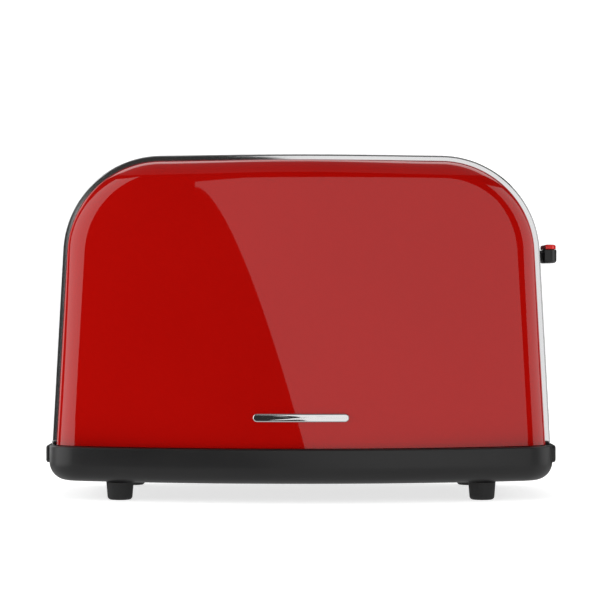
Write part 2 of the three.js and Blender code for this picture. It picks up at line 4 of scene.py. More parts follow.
import bmesh
import bpy
import numpy as np
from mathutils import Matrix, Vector

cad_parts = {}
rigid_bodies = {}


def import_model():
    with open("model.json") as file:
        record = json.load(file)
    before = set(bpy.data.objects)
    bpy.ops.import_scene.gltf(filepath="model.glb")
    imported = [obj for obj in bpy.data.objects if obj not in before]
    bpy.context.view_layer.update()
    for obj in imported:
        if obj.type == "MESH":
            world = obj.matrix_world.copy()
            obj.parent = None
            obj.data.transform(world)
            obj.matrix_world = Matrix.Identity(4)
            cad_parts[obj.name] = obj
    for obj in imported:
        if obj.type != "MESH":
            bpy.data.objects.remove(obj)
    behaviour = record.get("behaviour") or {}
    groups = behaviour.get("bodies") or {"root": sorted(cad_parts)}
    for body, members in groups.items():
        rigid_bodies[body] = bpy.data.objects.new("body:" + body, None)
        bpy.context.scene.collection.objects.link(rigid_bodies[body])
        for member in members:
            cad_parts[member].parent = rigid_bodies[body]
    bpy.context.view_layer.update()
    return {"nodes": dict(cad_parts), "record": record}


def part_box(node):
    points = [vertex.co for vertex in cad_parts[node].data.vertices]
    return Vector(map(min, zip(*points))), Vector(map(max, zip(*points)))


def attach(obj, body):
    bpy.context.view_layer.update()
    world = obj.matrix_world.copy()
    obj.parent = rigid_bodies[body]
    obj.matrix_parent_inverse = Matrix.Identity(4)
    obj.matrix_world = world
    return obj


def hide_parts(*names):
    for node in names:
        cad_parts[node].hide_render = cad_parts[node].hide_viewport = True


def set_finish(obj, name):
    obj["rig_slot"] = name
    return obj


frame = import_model()
nodes = frame["nodes"]
mm = 0.001

# Shapes are worked out about the middle of the shell, and makePiece moves them to where the shell stands.
shellLow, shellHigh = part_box("steel_band")
shellMiddle = Vector(((shellLow.x + shellHigh.x) / 2, 0, 0))


# Lowest and highest corner of a CAD node, from the shell's middle.
def nodeBox(nodeName):
    low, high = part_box(nodeName)
    return low - shellMiddle, high - shellMiddle


print("frame loaded with", len(nodes), "nodes")


# Mesh helpers

# Welds points that coincide, keeps quads whose corners differ and splits the rest into triangles.
def makePiece(name, grids, bodyName, slotName, stands=(), sharpAngle=35):
    points = np.concatenate([g[0].reshape(-1, 3) for g in grids])
    starts = np.cumsum([0] + [g[0].reshape(-1, 3).shape[0] for g in grids])
    quads = np.concatenate([g[1] + s for g, s in zip(grids, starts)])
    _, firsts, back = np.unique(np.round(points, 7), axis=0, return_index=True, return_inverse=True)
    quads = back.reshape(-1)[quads]
    ordered = np.sort(quads, axis=1)
    whole = (np.diff(ordered, axis=1) > 0).all(axis=1)
    broken = quads[~whole]
    triangles = np.concatenate([broken[:, [0, 1, 2]], broken[:, [0, 2, 3]]])
    kept = (np.diff(np.sort(triangles, axis=1), axis=1) > 0).all(axis=1)
    mesh = bpy.data.meshes.new(name)
    places = points[firsts] + np.array(shellMiddle)
    mesh.from_pydata(places.tolist(), [], quads[whole].tolist() + triangles[kept].tolist())
    mesh.validate()
    mesh.shade_smooth()
    mesh.set_sharp_from_angle(angle=math.radians(sharpAngle))
    piece = bpy.data.objects.new(name, mesh)
    bpy.context.scene.collection.objects.link(piece)
    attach(piece, bodyName)
    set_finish(piece, slotName)
    if stands:
        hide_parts(*stands)
    return piece


# A grid of points as (points, quads): quads join each point to its next neighbours. Either way round may
# close on itself, and keep marks the cells left in.
def gridOf(points, closeU=False, closeV=False, keep=None, flip=False):
    countU, countV = points.shape[:2]
    u = np.arange(countU if closeU else countU - 1)
    v = np.arange(countV if closeV else countV - 1)
    uu, vv = np.meshgrid(u, v, indexing="ij")
    nextU, nextV = (uu + 1) % countU, (vv + 1) % countV
    cell = [uu * countV + vv, nextU * countV + vv, nextU * countV + nextV, uu * countV + nextV]
    quads = np.stack(cell, axis=-1)
    quads = quads[keep] if keep is not None else quads.reshape(-1, 4)
    return points, quads[:, ::-1] if flip else quads


# Outward normals of a closed outline that runs anticlockwise.
def outlineNormals(outline):
    along = np.roll(outline, -1, axis=0) - np.roll(outline, 1, axis=0)
    across = np.stack([along[:, 1], -along[:, 0]], axis=1)
    return across / np.linalg.norm(across, axis=1, keepdims=True)


# A rounded rectangle as a closed anticlockwise outline, arcs of equal steps joined by straight runs.
def roundedRectangle(halfU, halfV, radius, steps=10, middle=(0, 0), runs=6):
    turn = np.linspace(0, math.pi / 2, steps)
    parts = []
    for k, (su, sv) in enumerate([(1, 1), (-1, 1), (-1, -1), (1, -1)]):
        a = turn + k * math.pi / 2
        corner = np.array([su * (halfU - radius), sv * (halfV - radius)])
        parts.append(corner + radius * np.stack([np.cos(a), np.sin(a)], axis=1))
    outline = []
    for k in range(4):
        first, second = parts[k], parts[(k + 1) % 4]
        share = np.linspace(0, 1, runs + 2)[1:-1, None]
        outline += [first, first[-1] * (1 - share) + second[0] * share]
    return np.concatenate(outline) + np.array(middle)


# A closed outline carried from low to high with both rims rounded: rings of an inset and a height, and a
# point in the middle of each cap.
def roundedPrism(outline, low, high, rimLow, rimHigh, steps=6, place=lambda a, b, c: (a, b, c)):
    normals = outlineNormals(outline)
    turn = np.linspace(0, math.pi / 2, steps)
    insets = np.concatenate([rimLow * (1 - np.sin(turn)), rimHigh * (1 - np.cos(turn))])
    heights = np.concatenate([low + rimLow * (1 - np.cos(turn)), high - rimHigh * (1 - np.sin(turn))])
    rings = outline[:, None, :] - normals[:, None, :] * insets[None, :, None]
    middle = outline.mean(axis=0)
    caps = [middle + (rings[:, end] - middle) * share for end in (0, -1) for share in (0.0, 0.5)]
    a = np.stack([caps[0], caps[1], *rings.transpose(1, 0, 2), caps[3], caps[2]], axis=1)
    levels = np.concatenate([[low, low], heights, [high, high]])
    c = np.broadcast_to(levels, a.shape[:2])
    return gridOf(np.stack(place(a[..., 0], a[..., 1], c), axis=-1), closeU=True)


# A profile of (radius, height) turned about a vertical axis at middle.
def turned(profile, middle, count=64, place=lambda a, b, c: (a, b, c)):
    profile = np.array(profile)
    angle = np.linspace(0, 2 * math.pi, count, endpoint=False)[:, None]
    a = middle[0] + profile[None, :, 0] * np.cos(angle)
    b = middle[1] + profile[None, :, 0] * np.sin(angle)
    c = np.broadcast_to(profile[None, :, 1], a.shape)
    return gridOf(np.stack(place(a, b, c), axis=-1), closeU=True)


# Points along a round corner of a profile, from one direction to another.
def fillet(middleU, middleV, radius, start, end, steps=6):
    a = np.radians(np.linspace(start, end, steps))
    return list(zip(middleU + radius * np.cos(a), middleV + radius * np.sin(a)))


# Sweeps a round section along a path, frames held by a fixed up direction; ends are closed with a dome.
def roundBar(path, radius, sides=12, up=(0, 0, 1)):
    path = np.array(path, float)
    along = np.gradient(path, axis=0)
    along /= np.linalg.norm(along, axis=1, keepdims=True)
    side = np.cross(along, np.array(up, float))
    side /= np.linalg.norm(side, axis=1, keepdims=True)
    over = np.cross(side, along)
    dome = np.linspace(0, math.pi / 2, 4)
    low = [(path[0] - along[0] * radius * math.cos(t), math.sin(t)) for t in dome]
    high = [(path[-1] + along[-1] * radius * math.cos(t), math.sin(t)) for t in dome[::-1]]
    centres = np.concatenate([[p for p, _ in low], path[1:-1], [p for p, _ in high]])
    scale = np.concatenate([[s for _, s in low], np.ones(len(path) - 2), [s for _, s in high]])
    held = lambda v: np.concatenate([np.repeat(v[:1], 4, 0), v[1:-1], np.repeat(v[-1:], 4, 0)])
    angle = np.linspace(0, 2 * math.pi, sides, endpoint=False)[:, None, None]
    ring = np.cos(angle) * held(side)[None] + np.sin(angle) * held(over)[None]
    points = centres[None] + ring * (radius * scale)[None, :, None]
    return gridOf(points, closeU=True, flip=True)


# Shell: the curves that the band and both panels share

bandLow, bandHigh = nodeBox("steel_band")
panelLow = nodeBox("front_panel")[0]
shell = {
    "foot": bandLow.z,
    "top": bandHigh.z,
    "shoulder": 52 * mm,
    "shoulderX": 73.6 * mm,
    "splay": math.radians(3.16),
    "bandEnd": 40 * mm,
    "bandSwell": 20 * mm,
    "swellReach": 120 * mm,
    "panelReach": -panelLow.y,
    "panelDrop": 9 * mm,
    "panelBow": 280 * mm,
    "panelInset": 3 * mm,
    "panelRoll": 10 * mm,
    "panelSheet": 1.2 * mm,
    "middleRise": 20 * mm,
    "seam": 0.4 * mm,
}
shoulderZ = shell["top"] - shell["shoulder"]


# How far a circle has fallen back at x from its middle.
def sag(x, radius):
    return radius - np.sqrt(radius**2 - x**2)


# Half width of the band: a raised cosine over the top, constant down the ends.
def bandHalf(x):
    along = np.minimum(1, np.abs(x) / shell["swellReach"])
    return shell["bandEnd"] + shell["bandSwell"] / 2 * (1 + np.cos(math.pi * along))


# Distance of a panel's face from the middle plane: a circle in plan, a parabola in height.
def panelFace(x, z):
    risen = (z - shell["foot"]) / (shell["top"] - shell["foot"])
    return shell["panelReach"] - shell["panelDrop"] * risen**2 - sag(x, shell["panelBow"])


# Leaning side of the shell at height z: the tangent of the shoulder's circle.
def sideX(z, inset):
    radius = shell["shoulder"] - inset
    tangentX = radius * math.cos(shell["splay"]) + shell["shoulderX"]
    tangentZ = radius * math.sin(shell["splay"]) + shoulderZ
    return tangentX + (tangentZ - z) * math.tan(shell["splay"])


# The shell's front outline moved in by inset, from the right foot over the top to the left foot.
# Stations run 0 to 1 up the side, 1 to 2 round the shoulder and 2 to 3 to the middle of the top.
def shellOutline(inset, foot, stations):
    inset = np.asarray(inset, float)[..., None]
    radius = shell["shoulder"] - inset
    tangentZ = radius * math.sin(shell["splay"]) + shoulderZ
    onSide = np.clip(stations, 0, 1)
    turn = shell["splay"] + np.clip(stations - 1, 0, 1) * (math.pi / 2 - shell["splay"])
    sideZ = foot + onSide * (tangentZ - foot)
    x = np.where(stations <= 1, sideX(sideZ, inset), shell["shoulderX"] + radius * np.cos(turn))
    x = x - np.clip(stations - 2, 0, 1) * shell["shoulderX"]
    z = np.where(stations <= 1, sideZ, shoulderZ + radius * np.sin(turn))
    return np.concatenate([x, -x[..., -2::-1]], axis=-1), np.concatenate([z, z[..., -2::-1]], axis=-1)


# Side panels
# Rings run from the middle of the face out to the rolled edge, round its rim and back inside, so the sheet
# is closed. A ring is the shell's outline and, under it, the same x values along the foot.
def panelRings(inset, angle, skin, stations):
    x, z = shellOutline(inset, shell["foot"] + skin, stations)
    x = np.concatenate([x, x[:, -2:0:-1]], axis=1)
    z = np.concatenate([z, np.full_like(x[:, : z.shape[1] - 2], shell["foot"] + skin)], axis=1)
    edge = bandHalf(x) + shell["seam"]
    proud = edge + (panelFace(x, z) - skin - edge) * np.sin(angle)[:, None]
    return np.stack([x, -proud, z], axis=-1)


# One side of the panel's sheet, skin below its face: the rolled edge is a quarter circle, and the face inside
# it runs straight in to a line along the panel's middle.
def panelSkin(skin, stations, faceSteps=26, rollSteps=16):
    angle = np.linspace(math.pi / 2, 0, rollSteps)
    inset = shell["panelInset"] + shell["panelRoll"] - (shell["panelRoll"] - skin) * np.cos(angle)
    rolled = panelRings(inset, angle, skin, stations)
    share = np.linspace(1, 0, faceSteps)[:-1, None]
    edgeX, edgeZ = rolled[0, :, 0], rolled[0, :, 2]
    middle = shoulderZ / 2 + shell["middleRise"]
    reach = shellOutline(inset[:1], shell["foot"] + skin, np.array([1.0]))[0][0, 0]
    x = edgeX + (np.clip(edgeX, -reach, reach) - edgeX) * share
    z = edgeZ + (middle - edgeZ) * share
    face = np.stack([x, skin - panelFace(x, z), z], axis=-1)
    return np.concatenate([face, rolled])


# A panel: its outer skin and then its inner skin turned back, joined into one closed sheet. Turn is 1 for the
# front and -1 for the rear, which is the front turned by half a circle.
def makePanel(name, nodeName, turn):
    stations = np.concatenate([np.linspace(0, 1, 20), np.linspace(1, 2, 40)[1:], np.linspace(2, 3, 30)[1:]])
    outer = panelSkin(0, stations)
    inner = panelSkin(shell["panelSheet"], stations)[::-1]
    points = np.concatenate([outer, inner]) * np.array([turn, turn, 1])
    return makePiece(name, [gridOf(points, closeV=True)], "housing", "red_paint", [nodeName])


makePanel("frontPanel", "front_panel", 1)
makePanel("rearPanel", "rear_panel", -1)
print("panels made")


# Steel band

band = {"inset": 0.25 * mm, "rim": 1.0 * mm, "fold": 4.5 * mm, "sheet": 1.0 * mm, "middleLine": 3.4 * mm}
slot = {
    "halfLength": 70 * mm,
    "halfWidth": 17 * mm,
    "middle": 22 * mm,
    "corner": 4 * mm,
    "deep": 19 * mm,
    "roll": 2.2 * mm,
    "flat": 1.2 * mm,
    "hole": 1.2 * mm,
    "skin": 0.8 * mm,
    "edge": 0.3 * mm,
}
control = {"middle": 84.5 * mm, "halfY": 34 * mm, "halfZ": 52.5 * mm, "overlap": 2.6 * mm}


# Stations of the band's grid, with lines at the control panel's ends and at the slots' ends.
def bandStations():
    reach = (control["halfZ"] - control["overlap"]) * math.cos(shell["splay"])
    tangentZ = shell["shoulder"] * math.sin(shell["splay"]) + shoulderZ
    low = (control["middle"] - reach - shell["foot"]) / (tangentZ - shell["foot"])
    topTurn = math.asin((control["middle"] + reach - shoulderZ) / shell["shoulder"])
    high = 1 + (topTurn - shell["splay"]) / (math.pi / 2 - shell["splay"])
    slotEnd = 3 - (slot["halfLength"] + slot["hole"]) / shell["shoulderX"]
    knots = [(0, low, 4), (low, 1, 14), (1, high, 7), (high, 2, 40), (2, slotEnd, 3), (slotEnd, 3, 20)]
    runs = [np.linspace(start, end, count)[1:] for start, end, count in knots]
    return np.concatenate([[0], *runs]), low, high, slotEnd


# A grid of stations along the shell's outline by lines across its width. The lines follow the slots' edges on
# the deck and the controls' edges on the end, blended by a smooth step, and past the width they fold inwards.
def makeBand():
    stations, low, high, slotEnd = bandStations()
    both = np.concatenate([stations, 6 - stations[-2::-1]])
    onDeck = np.clip(np.minimum(both, 6 - both) - 1, 0, 1)
    blend = (onDeck**2 * (3 - 2 * onDeck))[:, None]
    width = bandHalf(shellOutline(band["inset"], shell["foot"], stations)[0])[:, None]
    endEdge = control["halfY"] - control["overlap"]
    hole = slot["halfWidth"] + slot["hole"]
    inner = band["middleLine"] + blend * (slot["middle"] - hole - band["middleLine"])
    outer = endEdge + blend * (slot["middle"] + hole - endEdge)
    toInner, toOuter, toRim = np.linspace(0, 1, 4), np.linspace(0, 1, 12)[1:], np.linspace(0, 1, 5)[1:]
    runs = [inner * toInner, inner + (outer - inner) * toOuter, outer + (width - band["rim"] - outer) * toRim]
    turn = np.linspace(0, math.pi / 2, 6)[1:]
    rounded = width - band["rim"] * (1 - np.sin(turn))
    half = np.concatenate([*runs, rounded, np.repeat(width, 3, axis=1)], axis=1)
    onFace = sum(run.shape[1] for run in runs)
    folded = np.linspace(band["rim"], band["fold"], 4)[1:]
    depth = band["inset"] + np.concatenate([np.zeros(onFace), band["rim"] * (1 - np.cos(turn)), folded])
    y = np.concatenate([-half[:, :0:-1], half], axis=1)
    x, z = shellOutline(np.concatenate([depth[:0:-1], depth]), shell["foot"], stations)
    points = np.stack([x.T, y, z.T], axis=-1)
    middle = len(depth) - 1
    cells = np.arange(len(toInner) - 1, len(toInner) + len(toOuter) - 1)
    keep = np.ones((points.shape[0] - 1, points.shape[1] - 1), bool)
    between = lambda start, end: np.flatnonzero((both[:-1] > start - 1e-9) & (both[1:] < end + 1e-9))
    keep[np.ix_(between(slotEnd, 6 - slotEnd), np.concatenate([middle + cells, middle - 1 - cells]))] = False
    keep[np.ix_(between(low, high), np.arange(middle - 1 - cells[-1], middle + cells[-1] + 1))] = False
    grid = gridOf(points, keep=keep, flip=True)
    piece = makePiece("steelBand", [grid], "housing", "steel", ["steel_band"], 30)
    thicken = piece.modifiers.new("sheet", "SOLIDIFY")
    thicken.thickness = band["sheet"]
    thicken.offset = -1


makeBand()


# A slot's lip: a closed section of (outset, height) carried round the slot, with a flat rim on the deck, a
# roll down into the slot and a straight skirt.
def makeSlotLip(name, y):
    outline = roundedRectangle(slot["halfLength"], slot["halfWidth"], slot["corner"], middle=(0, y), runs=20)
    roll, skin, top = slot["roll"], slot["skin"], shell["top"]
    edge = slot["edge"]
    section = fillet(roll + slot["flat"], top - edge, edge, 0, 90, 4)
    section += fillet(roll, top - roll, roll, 90, 180, 10)
    section += [(0, top - slot["deep"]), (skin, top - slot["deep"])]
    section += fillet(roll, top - roll, roll - skin, 180, 90, 8)
    section = np.array(section)
    plan = outline[:, None, :] + outlineNormals(outline)[:, None, :] * section[None, :, :1]
    height = np.broadcast_to(section[:, 1], plan.shape[:2])[..., None]
    grid = gridOf(np.concatenate([plan, height], axis=-1), closeU=True, closeV=True)
    makePiece(name, [grid], "housing", "steel", [], 40)


makeSlotLip("slotLipFront", -slot["middle"])
makeSlotLip("slotLipRear", slot["middle"])
print("band and slot lips made")


# Base

tubLow, tubHigh = nodeBox("base_tub")
padLow, padHigh = nodeBox("crumb_tray_handle")
base = {
    "top": tubHigh.z,
    "bottom": tubLow.z,
    "length": 131.8 * mm,
    "half": tubHigh.y,
    "bow": 330 * mm,
    "corner": 22 * mm,
    "round": 9.5 * mm,
    "rim": 0.9 * mm,
    "wall": 2.5 * mm,
    "hole": (78 * mm, 46 * mm),
    "topInset": 12 * mm,
    "underInsets": (20 * mm, 35 * mm),
    "underShares": (0.66, 0.33, 0),
    "leastCorner": 4 * mm,
    "openAbove": 7 * mm,  # from the underside
    "padCorner": 2 * mm,
    "padBack": 0.2 * mm,
    "padEdge": 1.3 * mm,
    "padHalf": 38 * mm,
    "padInside": 129.6 * mm,
    "steps": (60, 14, 10),
}


# The base's outline in plan moved in by inset, anticlockwise from the front: a bowed side, a round corner, a
# straight end and a round corner, then the same four turned by half a circle.
def basePlan(inset):
    length, bow = base["length"] - inset, base["bow"] - inset
    corner = max(base["leastCorner"], base["corner"] - inset)
    bowY = bow - (base["half"] - inset)
    turn = math.asin((length - corner) / (bow - corner))
    cornerY = bowY - (bow - corner) * math.cos(turn)
    bowSteps, cornerSteps, endSteps = base["steps"]
    a = np.linspace(-turn, turn, bowSteps, endpoint=False)
    b = np.linspace(turn, math.pi / 2, cornerSteps, endpoint=False)
    c = np.linspace(math.pi / 2, turn, cornerSteps, endpoint=False)
    middleX = length - corner
    endY = np.linspace(cornerY, -cornerY, endSteps, False)
    x = [bow * np.sin(a), middleX + corner * np.sin(b), np.full(endSteps, length)]
    x += [middleX + corner * np.sin(c)]
    y = [bowY - bow * np.cos(a), cornerY - corner * np.cos(b), endY]
    y += [corner * np.cos(c) - cornerY]
    x, y = np.concatenate(x), np.concatenate(y)
    return np.stack([np.concatenate([x, -x]), np.concatenate([y, -y])], axis=-1)


# The base's shell: rings of the plan from the crumb opening over the rim and round the belly to the middle of
# the underside. The crumb tray's end is left open.
def makeBase():
    rim, top, bottom, belly = base["rim"], base["top"], base["bottom"], base["round"]
    profile = [(base["topInset"], top)] + fillet(rim, top - rim, rim, 90, 180, 5)
    profile += fillet(belly, bottom + belly, belly, 180, 270, 14)
    profile += [(inset, bottom) for inset in base["underInsets"]]
    rings = [basePlan(inset) for inset, _ in profile]
    reach = np.max(np.abs(rings[0]) / np.array(base["hole"]), axis=1, keepdims=True)
    rings = [rings[0] / reach] + rings + [rings[-1] * share for share in base["underShares"]]
    heights = [top] + [z for _, z in profile] + [bottom] * len(base["underShares"])
    levels = [np.full((len(ring), 1), z) for ring, z in zip(rings, heights)]
    points = np.stack([np.concatenate(pair, axis=1) for pair in zip(rings, levels)], axis=1)
    keep = np.ones((points.shape[0], points.shape[1] - 1), bool)
    bowSteps, cornerSteps, endSteps = base["steps"]
    endStart = len(points) // 2 + bowSteps + cornerSteps
    opened = np.flatnonzero(np.array(heights[:-1]) > bottom + base["openAbove"])
    keep[np.ix_(np.arange(endStart, endStart + endSteps), opened[opened > 0])] = False
    grid = gridOf(points, closeU=True, keep=keep, flip=True)
    piece = makePiece("baseTub", [grid], "housing", "black_plastic", ["base_tub"], 40)
    thicken = piece.modifiers.new("wall", "SOLIDIFY")
    thicken.thickness = base["wall"]
    thicken.offset = -1


makeBase()


# An end pad: an outline of y and z carried outwards, its outer edge rounded.
def makeEndPad(name, side, bodyName, stands):
    halfZ = (padHigh.z - padLow.z) / 2
    middle = (0, padLow.z + halfZ)
    outline = roundedRectangle(base["padHalf"], halfZ, base["padCorner"], middle=middle, runs=12)
    place = lambda a, b, c: (side * c, side * a, b)
    grid = roundedPrism(outline, base["padInside"], -padLow.x, base["padBack"], base["padEdge"], place=place)
    makePiece(name, [grid], bodyName, "black_plastic", stands)


makeEndPad("crumbTrayHandle", -1, "tray", ["crumb_tray_handle"])
makeEndPad("baseEndPad", 1, "housing", [])


footShape = {"soft": 1.8 * mm, "flare": 0.6 * mm}


# A foot: a flared stub turned about its own middle, with a soft lower edge.
def makeFoot(name, nodeName):
    low, high = nodeBox(nodeName)
    radius, soft = (high.x - low.x) / 2, footShape["soft"]
    tip = radius - footShape["flare"]
    profile = [(0, low.z)] + fillet(tip - soft, low.z + soft, soft, -90, 0, 7)
    profile += [(radius, high.z), (0, high.z)]
    makePiece(name, [turned(profile, (low + high) / 2)], "housing", "rubber", [nodeName])


for side in ("front", "rear"):
    for hand in ("left", "right"):
        makeFoot(side + hand.title() + "Foot", f"foot_{side}_{hand}")
print("base made")


# Lever and badge

leverLow, leverHigh = nodeBox("lever_handle")
capLow, capHigh = nodeBox("lever_cap")
lever = {
    "inside": 130.4 * mm,
    "under": 1.6 * mm,
    "edge": 0.3 * mm,
    "capInset": 0.4 * mm,
    "capUnder": 0.2 * mm,
    "capEdge": 1.0 * mm,
    "neckHalf": (3 * mm, 2.6 * mm),
    "neckCorner": 1 * mm,
    "neckOverlap": 1 * mm,
    "neckEdge": 0.3 * mm,
}


# Plan of the lever moved in by inset: a straight inner side and half a superellipse outside.
def leverPlan(inset):
    turn = np.linspace(-math.pi / 2, math.pi / 2, 61)
    half = leverHigh.y - inset
    x = lever["inside"] + inset + (leverHigh.x - 2 * inset - lever["inside"]) * np.cos(turn).clip(0) ** 0.6
    y = half * np.sign(turn) * np.abs(np.sin(turn)) ** 0.9
    straight = np.stack([np.full(18, lever["inside"] + inset), np.linspace(half, -half, 20)[1:-1]], axis=-1)
    return np.concatenate([np.stack([x, y], axis=-1), straight])


handleGrid = roundedPrism(leverPlan(0), leverLow.z, leverHigh.z, lever["under"], lever["edge"])
neckMiddle = (0, (leverLow.z + leverHigh.z) / 2)
neckPlan = roundedRectangle(*lever["neckHalf"], lever["neckCorner"], middle=neckMiddle)
neckPlace = lambda a, b, c: (c, a, b)
neckEnd = lever["inside"] + lever["neckOverlap"]
neckGrid = roundedPrism(neckPlan, leverLow.x, neckEnd, lever["neckEdge"], lever["neckEdge"], place=neckPlace)
makePiece("leverHandle", [handleGrid, neckGrid], "carriage", "black_plastic", ["lever_handle"])
capPlan = leverPlan(lever["capInset"])
capGrid = roundedPrism(capPlan, capLow.z, capHigh.z, lever["capUnder"], lever["capEdge"])
makePiece("leverCap", [capGrid], "carriage", "red_plastic", ["lever_cap"])

badgeLow, badgeHigh = nodeBox("front_badge")
badge = {"back": 0.05 * mm, "face": 1.0 * mm, "backEdge": 0.1 * mm, "faceEdge": 0.7 * mm}
badgeHalf = (badgeHigh.z - badgeLow.z) / 2
badgeMiddle = (badgeHigh.z + badgeLow.z) / 2
badgePlan = roundedRectangle(badgeHigh.x, badgeHalf, badgeHalf * 0.98, 16, (0, badgeMiddle), 30)
onPanel = lambda a, b, c: (a, -(panelFace(a, b) + c), b)  # c counts outwards from the panel's face
badgeGrid = roundedPrism(badgePlan, *badge.values(), place=onPanel)
makePiece("badgeBar", [badgeGrid], "housing", "chrome", ["front_badge"])
print("lever and badge made")


# Controls, on the right end

knob = {
    "up": -35 * mm,  # from the panel's middle
    "radius": 13.0 * mm,
    "back": -6.2 * mm,
    "face": 2.0 * mm,
    "dish": 0.5 * mm,
    "edge": 0.9 * mm,
    "grip": 3.4 * mm,
    "flutes": 36,
    "fluteDeep": 0.25 * mm,
    "ringRadius": 13.8 * mm,
    "steps": 216,
    "step": -2 * mm,
    "ridgeHalf": (1.3 * mm, 2.5 * mm),
    "ridgeReach": (11 * mm, 12.4 * mm),
    "ringInside": 12.6 * mm,
    "ringFoot": 0.2 * mm,
    "ringTop": 0.8 * mm,
    "ringRound": 0.3 * mm,
}
buttons = {
    "across": 25 * mm,
    "middle": 10.5 * mm,
    "pitch": 15 * mm,
    "half": (5 * mm, 4 * mm),
    "corner": 2 * mm,
    "back": -3 * mm,
    "out": 2.4 * mm,
    "backEdge": 0.2 * mm,
    "faceEdge": 0.9 * mm,
}


# The control panel's own frame: across is y, up leans with the end of the shell, out is its normal.
def onEnd(across, up, out):
    lean = shell["splay"]
    x = sideX(control["middle"], 0) + out * math.cos(lean) - up * math.sin(lean)
    return x, across, control["middle"] + up * math.cos(lean) + out * math.sin(lean)


weldReach = 0.02 * mm


# A copy of a CAD node with its points welded, flat areas joined and edges rounded by a bevel.
def softenedCopy(name, nodeName, bodyName, slotName, width):
    work = bmesh.new()
    work.from_mesh(nodes[nodeName].data)
    bmesh.ops.remove_doubles(work, verts=work.verts, dist=weldReach)
    bmesh.ops.dissolve_limit(work, angle_limit=math.radians(1), verts=work.verts, edges=work.edges)
    mesh = bpy.data.meshes.new(name)
    work.to_mesh(mesh)
    work.free()
    mesh.shade_smooth()
    mesh.set_sharp_from_angle(angle=math.radians(35))
    piece = bpy.data.objects.new(name, mesh)
    bpy.context.scene.collection.objects.link(piece)
    bevel = piece.modifiers.new("edges", "BEVEL")
    bevel.width = width
    bevel.segments = 2
    bevel.limit_method = "ANGLE"
    bevel.angle_limit = math.radians(40)
    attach(piece, bodyName)
    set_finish(piece, slotName)
    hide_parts(nodeName)


softenedCopy("controlPanel", "control_panel", "housing", "black_plastic", 0.15 * mm)


# Smooth step from 1 below low to 0 above high.
def fall(value, low, high):
    t = np.clip((value - low) / (high - low), 0, 1)
    return 1 - t * t * (3 - 2 * t)


# The knob: a dished face with a ridge across it, in rings; the side's radius follows a cosine of the angle.
def makeKnob():
    radius, edge, face = knob["radius"], knob["edge"], knob["face"]
    angle = np.linspace(0, 2 * math.pi, knob["steps"], endpoint=False)[:, None]
    flat = np.linspace(0, radius - edge, 40)
    turn = np.linspace(math.pi / 2, 0, 7)[1:]
    side = np.array([0, knob["step"], knob["back"]])
    ring = np.concatenate([flat, radius - edge + edge * np.cos(turn), np.full(3, radius), [0]])
    dished = face - knob["dish"] * (1 - (flat / flat[-1]) ** 2)
    out = np.concatenate([dished, face - edge + edge * np.sin(turn), side, [knob["back"]]])
    wall = (np.arange(len(ring)) >= len(flat) + 3) & (ring > 0)
    reach = ring - wall * knob["fluteDeep"] * (0.5 - 0.5 * np.cos(knob["flutes"] * angle))
    across, along = reach * np.cos(angle), reach * np.sin(angle)
    ridge = fall(np.abs(across), *knob["ridgeHalf"]) * fall(np.abs(along), *knob["ridgeReach"])
    ridge = ridge * (out > face - edge) * (knob["grip"] - out).clip(0)
    points = np.stack(onEnd(across, knob["up"] + along, out + ridge), axis=-1)
    grid = gridOf(points, closeU=True, flip=True)
    makePiece("browningKnob", [grid], "knob", "black_plastic", ["browning_knob"], 50)


makeKnob()
ringFoot, ringTop = (knob["ringInside"], knob["ringFoot"]), (knob["ringInside"], knob["ringTop"])
ringMiddle = (knob["ringFoot"] + knob["ringTop"]) / 2
ringSection = fillet(knob["ringRadius"] - knob["ringRound"], ringMiddle, knob["ringRound"], -90, 90, 7)
ringProfile = [ringFoot, *ringSection, ringTop, ringFoot]
makePiece("knobRing", [turned(ringProfile, (0, knob["up"]), 128, onEnd)], "knob", "chrome")


# Push buttons, from the lowest up: rounded rectangles pushed out of the panel, their fronts well rounded.
for count, action in enumerate(("defrost", "reheat", "cancel")):
    up = buttons["middle"] + (count - 1) * buttons["pitch"]
    plan = roundedRectangle(*buttons["half"], buttons["corner"], 8, (buttons["across"], up), 4)
    edges = buttons["backEdge"], buttons["faceEdge"]
    grid = roundedPrism(plan, buttons["back"], buttons["out"], *edges, place=onEnd)
    makePiece(action + "Button", [grid], action + "_button", "black_plastic", [action + "_button"])
print("controls made")


# Bread guides: two rails and seven uprights of round wire each, in the guide's own plane.
guideWire = {"radius": 0.8 * mm, "reach": 62 * mm, "uprights": 7, "gap": 0.3 * mm}


# One guide: straight rails along x and uprights between them, ends kept a little off the rails.
def makeGuide(name, nodeName, bodyName):
    low, high = nodeBox(nodeName)
    radius, y = guideWire["radius"], (low.y + high.y) / 2
    rails = [low.z + radius, high.z - radius]
    spans = np.linspace(low.x + radius, high.x - radius, 3)
    grids = [roundBar([(x, y, z) for x in spans], radius) for z in rails]
    for x in np.linspace(-guideWire["reach"], guideWire["reach"], guideWire["uprights"]):
        span = np.linspace(rails[0] + guideWire["gap"], rails[1] - guideWire["gap"], 3)
        grids.append(roundBar([(x, y, z) for z in span], radius, up=(0, 1, 0)))
    makePiece(name, grids, bodyName, "zinc_steel", [nodeName])


for side in ("front", "rear"):
    for hand in ("outer", "inner"):
        makeGuide(f"{side}{hand.title()}Guide", f"bread_guide_{side}_{hand}", f"guide_{side}_{hand}")
print("bread guides made")


# Looks

